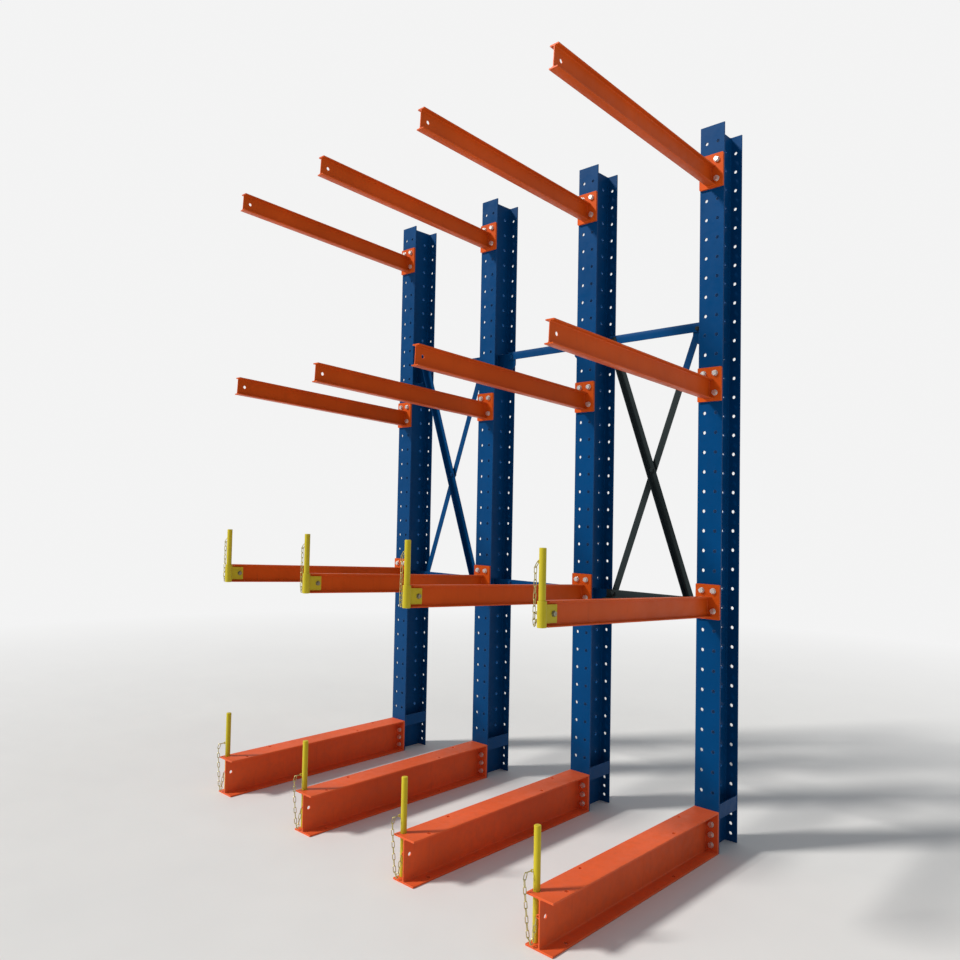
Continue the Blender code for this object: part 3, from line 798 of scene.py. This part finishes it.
def build_bases():
    mesh = base_beam_mesh()
    for i, x in enumerate(COLUMN_X):
        name = f"base_beam_{i + 1}"
        finished(f"{name}_body", copied(mesh, (x, 0, 0)), BASE_PAINT, replaces=[name])
        extras = bmesh.new()
        base_welds(extras, x)
        staple(extras, x)
        piece(f"{name}_welds", extras, BASE_PAINT)
        bolts = bmesh.new()
        for u in (-GAUGE, GAUGE):
            for z in FOOT_ROWS:
                seat = (x + u, FACE_Y - GAP - PLATE, z)
                bolt(bolts, seat, (0, -1, 0), PLATE + GAP + HEAVY["flange"], turn=5 * u + z * 11)
        piece(f"{name}_bolts", bolts, ZINC)


# ---------------------------------------------------------------- arms
def rise_at(distance):
    return (distance - GAP - PLATE / 2) * math.tan(ARM_RISE)


def arm_mesh(foot):
    """Arm whose plate's lower edge is at the given height, centred on X = 0."""
    upper = foot + ARM_ROW
    outline = i_section(**ARM)
    root_z = upper - ARM_DROP - ARM["depth"] / 2 / math.cos(ARM_RISE)
    root_y = FACE_Y - GAP - PLATE / 2
    tip_y = TIP_Y + ARM["depth"] / 2 * math.sin(ARM_RISE)
    tip_z = root_z + rise_at(FACE_Y - tip_y)
    beam = bmesh.new()
    prism(
        beam,
        outline,
        lambda u, v: (u, tip_y + v * math.sin(ARM_RISE), tip_z + v * math.cos(ARM_RISE)),
        lambda u, v: (u, root_y, root_z + v / math.cos(ARM_RISE)),
    )
    plate = bmesh.new()
    half = ARM_PLATE["width"] / 2
    corner = ARM_PLATE["corner"]
    outline = []
    for su, sv, start in ((1, 1, 0), (-1, 1, 90), (-1, -1, 180), (1, -1, 270)):
        z = upper + ARM_PLATE["above_row"] - corner if sv > 0 else foot + corner
        outline += arc(su * (half - corner), z, corner, start, start + 90, 3)
    prism(
        plate,
        outline,
        lambda u, v: (u, FACE_Y - GAP - PLATE, v),
        lambda u, v: (u, FACE_Y - GAP, v),
    )
    cuts = bmesh.new()
    for u in (-GAUGE, GAUGE):
        for z in (upper, upper - ROW_PITCH):
            hole(cuts, (u, FACE_Y - PLATE / 2, z), "Y", BOLT_HOLE, 0.03)
    eye_z = root_z + rise_at(REACH - ARM_EYE_BACK)
    hole(cuts, (0, TIP_Y + ARM_EYE_BACK, eye_z), "X", BOLT_HOLE, 0.02)
    return applied([beam, plate], cuts)


def arm_welds(bm, x, foot):
    y = FACE_Y - GAP - PLATE
    top = foot + ARM_ROW - ARM_DROP
    bottom = top - ARM["depth"]
    web = ARM["web"] / 2
    half = ARM["width"] / 2
    weld(bm, (x - half, y, top), (x + half, y, top), 0.0036)
    weld(bm, (x - half, y, bottom), (x + half, y, bottom), 0.0034)
    for side in (-1, 1):
        weld(bm, (x + side * web, y, bottom + 0.012), (x + side * web, y, top - 0.012), 0.0028)
        weld(bm, (x + side * half, y, top - 0.006), (x + side * half, y, top), 0.0026)
        weld(bm, (x + side * half, y, bottom), (x + side * half, y, bottom + 0.006), 0.0026)


def build_arms():
    for level, foot in enumerate(ARM_PLATE_FOOT, start=1):
        mesh = arm_mesh(foot)
        for i, x in enumerate(COLUMN_X):
            name = f"arm_L{level}_{i + 1}"
            finished(f"{name}_body", copied(mesh, (x, 0, 0)), ORANGE_PAINT, replaces=[name])
            beads = bmesh.new()
            arm_welds(beads, x, foot)
            piece(f"{name}_welds", beads, ORANGE_PAINT)
            bolts = bmesh.new()
            for u in (-GAUGE, GAUGE):
                for z in (foot + ARM_ROW - ROW_PITCH, foot + ARM_ROW):
                    seat = (x + u, FACE_Y - GAP - PLATE, z)
                    bolt(bolts, seat, (0, -1, 0), PLATE + GAP + HEAVY["flange"], turn=9 * u + z * 3 + i)
            piece(f"{name}_bolts", bolts, ZINC)


# ---------------------------------------------------------------- stop pins, sockets and chains
def eye_ring(bm, spot, out):
    """Upright ring of wire welded to a round surface at the spot, standing out from it."""
    radius = EYE["radius"]
    up = Vector((0, 0, 1))
    centre = spot + out * radius * 0.85
    turns = [2 * math.pi * k / 16 for k in range(16)]
    points = [centre + radius * (out * math.cos(t) + up * math.sin(t)) for t in turns]
    tube(bm, points, EYE["wire"], 8, closed=True)


def pin(name, box_node, axis_x, axis_y, body, eye_turn, eye_z):
    """Round bar pin with a soft-edged top and a welded chain eye."""
    low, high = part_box(box_node)
    bm = bmesh.new()
    r = PIN_RADIUS
    e = 0.0022
    profile = [(0, low.z), (r - 0.0012, low.z), (r, low.z + 0.0012)]
    profile += [(r, high.z - e)]
    profile += [(r - e + e * math.cos(t), high.z - e + e * math.sin(t)) for t in (0.4, 0.8, 1.2)]
    profile += [(r - e, high.z), (0, high.z)]
    turned(bm, profile, 36, Matrix.Translation((axis_x, axis_y, 0)))
    out = Vector((math.cos(eye_turn), math.sin(eye_turn), 0))
    eye_ring(bm, Vector((axis_x, axis_y, eye_z)) + out * r, out)
    return piece(name, bm, YELLOW_PAINT, body, [box_node])


def smooth_route(points, steps=12):
    """Points along a rounded path through the given ones."""
    knots = [Vector(p) for p in points]
    knots = [2 * knots[0] - knots[1]] + knots + [2 * knots[-1] - knots[-2]]
    route = []
    for a, b, c, d in zip(knots, knots[1:], knots[2:], knots[3:]):
        for i in range(steps):
            t = i / steps
            bend = 2 * b + (c - a) * t + (2 * a - 5 * b + 4 * c - d) * t**2
            route.append((bend + (3 * b - 3 * c + d - a) * t**3) / 2)
    route.append(knots[-2])
    return route


def spaced(route, step):
    """Points at equal steps along a path."""
    lengths = [0.0]
    for a, b in zip(route, route[1:]):
        lengths.append(lengths[-1] + (b - a).length)
    count = int(round(lengths[-1] / step))
    places = []
    k = 0
    for i in range(count + 1):
        s = lengths[-1] * i / count
        while k < len(lengths) - 2 and lengths[k + 1] < s:
            k += 1
        part = (s - lengths[k]) / (lengths[k + 1] - lengths[k])
        places.append(route[k].lerp(route[k + 1], part))
    return places


def link_mesh(centre, ahead, side):
    """One chain link: a round wire bent into a long loop."""
    bm = bmesh.new()
    half = LINK["width"] / 2 - LINK["wire"]
    straight = LINK["length"] / 2 - LINK["width"] / 2
    loop = [(straight + u, v) for u, v in arc(0, 0, half, -90, 90, 6)]
    loop += [(u - straight, v) for u, v in arc(0, 0, half, 90, 270, 6)]
    points = [centre + ahead * u + side * v for u, v in loop]
    tube(bm, points, LINK["wire"], 6, closed=True)
    return bm


def chain(name, points, node):
    """Chain of rigid links laid along a rounded path through the given points."""
    step = LINK["length"] - 4 * LINK["wire"]
    places = spaced(smooth_route(points), step)
    centres = [(a + b) / 2 for a, b in zip(places, places[1:])]
    drawn = [0.0]
    for before, after in zip(centres, centres[1:]):
        drawn.append(drawn[-1] + 2 * max(0.0, after.z - before.z))
    side = Vector((0, 1, 0))
    for i, centre in enumerate(centres):
        ahead = (places[i + 1] - places[i]).normalized()
        side = (side - ahead * side.dot(ahead)).normalized()
        across = side if i % 2 == 0 else ahead.cross(side)
        link = link_mesh(centre, ahead, across)
        thing = piece(f"{name}_link_{i + 1:02d}", link, CHAIN_ZINC, None, [node] if i == 0 else [])
        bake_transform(thing)


def base_chain_route(x):
    lug_z = HEAVY_DEPTH + BASE_EYE_ABOVE
    reach = (PIN_RADIUS + 0.006) * math.cos(math.radians(45))
    points = [
        (-PIN_SIDE - reach - 0.001, PIN_BACK - reach - 0.002, lug_z),
        (-0.066, 0.006, lug_z + 0.002),
        (-0.068, -0.009, lug_z - 0.020),
        (-0.064, -0.010, HEAVY_DEPTH),
        (-0.054, -0.010, 0.110),
        (-0.045, -0.010, 0.040),
        (-0.032, -0.010, 0.020),
        (-0.020, -0.010, 0.045),
        (-0.013, -0.002, 0.122),
    ]
    return [(x + u, TIP_Y + v, z) for u, v, z in points]


def arm_chain_route(x, y):
    reach = PIN_RADIUS + 0.006
    lug_z = ARM["depth"] + ARM_EYE_ABOVE
    points = [
        (-reach, -0.0025, lug_z - 0.001),
        (-reach - 0.006, -0.010, lug_z - 0.010),
        (-reach - 0.007, -0.010, lug_z - 0.080),
        (-reach - 0.010, -0.010, 0.070),
        (-reach - 0.012, -0.009, 0.020),
        (-reach - 0.008, -0.006, 0.004),
        (-reach - 0.004, -0.005, 0.020),
        (-0.024, -0.0048, 0.051),
    ]
    return [(x + u, y + v, SOCKET_FOOT + z) for u, v, z in points]


def socket(i, x, y):
    """Tube with a floor, its side plate, welds and the bolt through the arm's web."""
    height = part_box(f"pin_socket_{i}")[1].z - SOCKET_FOOT
    bm = bmesh.new()
    e = 0.0008
    outer = SOCKET["outer"]
    inner = SOCKET["inner"]
    floor = SOCKET["floor"]
    profile = [(0, 0), (outer - e, 0), (outer, e), (outer, height - e), (outer - e, height)]
    profile += [(inner + e, height), (inner, height - e), (inner, floor), (0, floor)]
    turned(bm, profile, 40, Matrix.Translation((x, y, SOCKET_FOOT)))
    eye_ring(bm, Vector((x - outer, y, SOCKET_FOOT + 0.054)), Vector((-1, 0, 0)))
    slope = -math.tan(ARM_RISE)
    middle = SOCKET_FOOT + height / 2
    thick = SOCKET["plate"]
    side = ARM["web"] / 2 + GAP - thick
    bead_y = y + outer - 0.0005
    for v in (-0.0355, 0.0355):
        weld(bm, (x + side, bead_y, middle + v), (x + side + thick, bead_y, middle + v), 0.0024)
    for edge in (side, side + thick):
        weld(bm, (x + edge, bead_y, middle - 0.034), (x + edge, bead_y, middle + 0.034), 0.0024)
    piece(f"socket_{i}_tube", bm, YELLOW_PAINT, replaces=[f"pin_socket_{i}"])
    plate = bmesh.new()
    start, stop, tall, corner = 0.0175, 0.092, 0.073, 0.003
    outline = [(start, -tall / 2)] + arc(stop - corner, corner - tall / 2, corner, 270, 360, 3)
    outline += arc(stop - corner, tall / 2 - corner, corner, 0, 90, 3) + [(start, tall / 2)]

    def end(offset):
        return lambda u, v: (x + offset, y + u, middle + v + (u - 0.020) * slope)

    prism(plate, outline, end(side), end(side + thick))
    finished(f"socket_{i}_plate", applied([plate], None), YELLOW_PAINT)
    bolts = bmesh.new()
    seat = (x + side + thick, TIP_Y + ARM_EYE_BACK, middle + ARM_EYE_BACK * slope)
    bolt(bolts, seat, (1, 0, 0), thick + GAP + ARM["web"], 0.012, turn=0.3 + i)
    piece(f"socket_{i}_bolt", bolts, DULL_ZINC, replaces=[f"socket_bolt_{i}"])


def build_stops():
    for i, x in enumerate(COLUMN_X, start=1):
        base_y = TIP_Y + PIN_BACK
        body = f"base_pin_{i}_body"
        eye_z = HEAVY_DEPTH + BASE_EYE_ABOVE
        pin(f"base_pin_{i}_bar", f"base_pin_{i}", x - PIN_SIDE, base_y, body, math.radians(225), eye_z)
        chain(f"base_chain_{i}", base_chain_route(x), f"base_chain_{i}")
        arm_x = x + ARM_PIN_SIDE
        arm_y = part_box(f"pin_socket_{i}")[0].y + SOCKET["outer"]
        socket(i, arm_x, arm_y)
        body = f"arm_pin_{i}_body"
        eye_z = SOCKET_FOOT + ARM["depth"] + ARM_EYE_ABOVE
        pin(f"arm_pin_{i}_bar", f"arm_pin_{i}", arm_x, arm_y, body, math.pi, eye_z)
        chain(f"arm_chain_{i}", arm_chain_route(arm_x, arm_y), f"arm_chain_{i}")


# ---------------------------------------------------------------- bracing
def strut_mesh(upper):
    """Angle strut centred on X = 0, upper or lower."""
    leg = STRUT["leg"]
    thick = STRUT["thick"]
    half = PITCH / 2 - STRUT_START
    front = STRUT_Y - thick
    bar = bmesh.new()
    node = UPPER_NODE if upper else LOWER_NODE

    def end(x):
        if upper:
            return lambda u, v: (x, front + u, UPPER_STRUT_TOP - v)
        return lambda u, v: (x, STRUT_Y - u, LOWER_STRUT_FOOT + v)

    prism(bar, angle_section(leg, thick), end(-half), end(half))
    cuts = bmesh.new()
    for side in (-1, 1):
        hole(cuts, (side * (PITCH / 2 - node[0]), STRUT_Y - thick / 2, node[1]), "Y", BRACE_HOLE, 0.02)
    return applied([bar], cuts, 0.0004)


def diagonal_mesh(span, middle, outward):
    """Angle along Z from its lower bolt; its flat leg is bolted on at Y = 0, the other leg points outward."""
    leg = DIAGONAL["leg"]
    end = DIAGONAL["end"]
    bar = bmesh.new()
    prism(
        bar,
        angle_section(leg, DIAGONAL["thick"]),
        lambda u, v: (u - leg / 2, outward * v, -end),
        lambda u, v: (u - leg / 2, outward * v, span + end),
    )
    cuts = bmesh.new()
    for z in (0, middle, span):
        hole(cuts, (0, outward * 0.002, z), "Y", BRACE_HOLE, 0.02)
    return applied([bar], cuts, 0.0004)


def build_bracing():
    upper = strut_mesh(True)
    lower = strut_mesh(False)
    run = PITCH - UPPER_NODE[0] - LOWER_NODE[0]
    rise = UPPER_NODE[1] - LOWER_NODE[1]
    span = math.hypot(run, rise)
    lean = math.atan2(run, rise)
    middle = (PITCH / 2 - LOWER_NODE[0]) / math.sin(lean)
    front_y = STRUT_Y - STRUT["thick"] - GAP
    rear_y = FACE_Y + GUSSET_BACK + GAP
    thick = DIAGONAL["thick"]
    for bay in range(3):
        left = COLUMN_X[bay]
        centre = left + PITCH / 2
        tag = f"{bay + 1}_{bay + 2}"
        braced = bay != 1
        paint, slot = (GREEN_PAINT, "green") if bay == 2 else (BLUE_PAINT, "blue")
        top_bar = copied(upper, (centre, 0, 0))
        lower_bar = copied(lower, (centre, 0, 0))
        finished(f"upper_strut_{tag}_bar", top_bar, BLUE_PAINT, replaces=[f"top_strut_{tag}"])
        finished(f"lower_strut_{tag}_bar", lower_bar, paint, replaces=[f"lower_strut_{tag}"])
        bolts = bmesh.new()
        for node, front_side in ((UPPER_NODE, -1), (LOWER_NODE, 1)):
            for side in (-1, 1):
                x = centre + side * (PITCH / 2 - node[0])
                in_front = braced and side == front_side
                behind = braced and not in_front
                seat_y = front_y - thick if in_front else STRUT_Y - STRUT["thick"]
                rear = rear_y + thick if behind else FACE_Y + GUSSET_BACK
                bolt(bolts, (x, seat_y, node[1]), (0, -1, 0), rear - seat_y, 0.012, turn=side + bay)
        piece(f"brace_bolts_{tag}", bolts, paint)
        if not braced:
            continue
        for label, foot_x, foot_y, sign in (
            ("front", left + PITCH - LOWER_NODE[0], front_y, -1),
            ("rear", left + LOWER_NODE[0], rear_y, 1),
        ):
            mesh = diagonal_mesh(span, middle, sign)
            foot = Matrix.Translation((foot_x, foot_y, LOWER_NODE[1]))
            mesh.transform(foot @ Matrix.Rotation(sign * lean, 4, "Y"))
            node = f"diagonal_{label}_{tag}"
            coat = TWO_TONE_PAINT if node == "diagonal_rear_3_4" else paint
            finished(f"{node}_bar", mesh, coat, replaces=[node])
        cross = bmesh.new()
        cross_z = LOWER_NODE[1] + middle * math.cos(lean)
        grip = rear_y + 2 * thick - front_y
        bolt(cross, (centre, front_y - thick, cross_z), (0, -1, 0), grip, 0.012, turn=0.2)
        ends = (front_y + GAP, rear_y - GAP)
        spacer = [(BRACE_HOLE, ends[0]), (0.011, ends[0]), (0.011, ends[1]), (BRACE_HOLE, ends[1])]
        axis = Matrix.Translation((centre, 0, cross_z)) @ Matrix.Rotation(-math.pi / 2, 4, "X")
        turned(cross, spacer, 24, axis)
        piece(f"cross_bolt_{tag}_set", cross, paint, replaces=[f"cross_bolt_{tag}"])


# ---------------------------------------------------------------- studio
SURROUND = (0.90, 0.90, 0.90)


def build_studio():
    """Pale floor that fades into the white surround, one soft key lamp and an even sky."""
    floor = bmesh.new()
    box(floor, (-60, -60, -0.02), (60, 60, -0.0005))
    f = Finish("studio_floor", 0.6)
    shade = f.mix(f.band(f.noise(0.8, 4), 0.3, 0.7), (0.71, 0.71, 0.71), (0.74, 0.74, 0.735))
    rough_map = f.band(f.noise(6, 4), 0.3, 0.7, 0.55, 0.7)
    material = f.done(shade, rough_map, f.bump(f.noise(120, 3), 0.0002, 0.3))
    distance = f.node("ShaderNodeVectorMath")
    distance.operation = "LENGTH"
    f.link(f.where, distance.inputs[0])
    fade = f.band(distance.outputs["Value"], 2.5, 9.0)
    glow = f.node("ShaderNodeEmission")
    glow.inputs["Color"].default_value = (*SURROUND, 1)
    join = f.node("ShaderNodeMixShader")
    f.link(fade, join.inputs["Fac"])
    f.link(f.shader.outputs["BSDF"], join.inputs[1])
    f.link(glow.outputs["Emission"], join.inputs[2])
    f.link(join.outputs["Shader"], f.tree.nodes["Material Output"].inputs["Surface"])
    mesh = bpy.data.meshes.new("studio_floor")
    floor.to_mesh(mesh)
    floor.free()
    mesh.materials.append(material)
    thing = bpy.data.objects.new("studio_floor", mesh)
    bpy.context.scene.collection.objects.link(thing)

    world = bpy.data.worlds.new("studio")
    bpy.context.scene.world = world
    world.use_nodes = True
    tree = world.node_tree
    back = tree.nodes["Background"]
    back.inputs["Color"].default_value = (0.92, 0.96, 1.0, 1)
    back.inputs["Strength"].default_value = 0.38
    seen = tree.nodes.new("ShaderNodeBackground")
    seen.inputs["Color"].default_value = (*SURROUND, 1)
    path = tree.nodes.new("ShaderNodeLightPath")
    blend = tree.nodes.new("ShaderNodeMixShader")
    tree.links.new(path.outputs["Is Camera Ray"], blend.inputs["Fac"])
    tree.links.new(back.outputs["Background"], blend.inputs[1])
    tree.links.new(seen.outputs["Background"], blend.inputs[2])
    tree.links.new(blend.outputs["Shader"], tree.nodes["World Output"].inputs["Surface"])

    data = bpy.data.lights.new("key", "SUN")
    data.energy = 3.3
    data.angle = math.radians(9)
    data.color = (1.0, 0.965, 0.91)
    key = bpy.data.objects.new("key", data)
    bpy.context.scene.collection.objects.link(key)
    key.rotation_euler = Vector((0.48, 0.60, -0.64)).to_track_quat("-Z", "Y").to_euler()


def build_camera():
    """Camera at eye height off the right front corner, looking along the row from below its middle."""
    data = bpy.data.cameras.new("camera")
    data.sensor_width = 36
    data.lens = 30.240
    data.clip_end = 200
    camera = bpy.data.objects.new("camera", data)
    bpy.context.scene.collection.objects.link(camera)
    right = Vector((0.72724, 0.68610, 0.01943))
    forward = Vector((-0.68628, 0.72637, 0.03750))
    up = right.cross(forward).normalized()
    camera.matrix_world = Matrix.Translation((3.1311, -3.1926, 1.6724)) @ Matrix(
        (
            (right.x, up.x, -forward.x, 0),
            (right.y, up.y, -forward.y, 0),
            (right.z, up.z, -forward.z, 0),
            (0, 0, 0, 1),
        )
    )
    bpy.context.scene.camera = camera


build_columns()
build_bases()
build_arms()
build_stops()
build_bracing()
build_studio()
build_camera()
bpy.context.scene.view_settings.view_transform = "Standard"
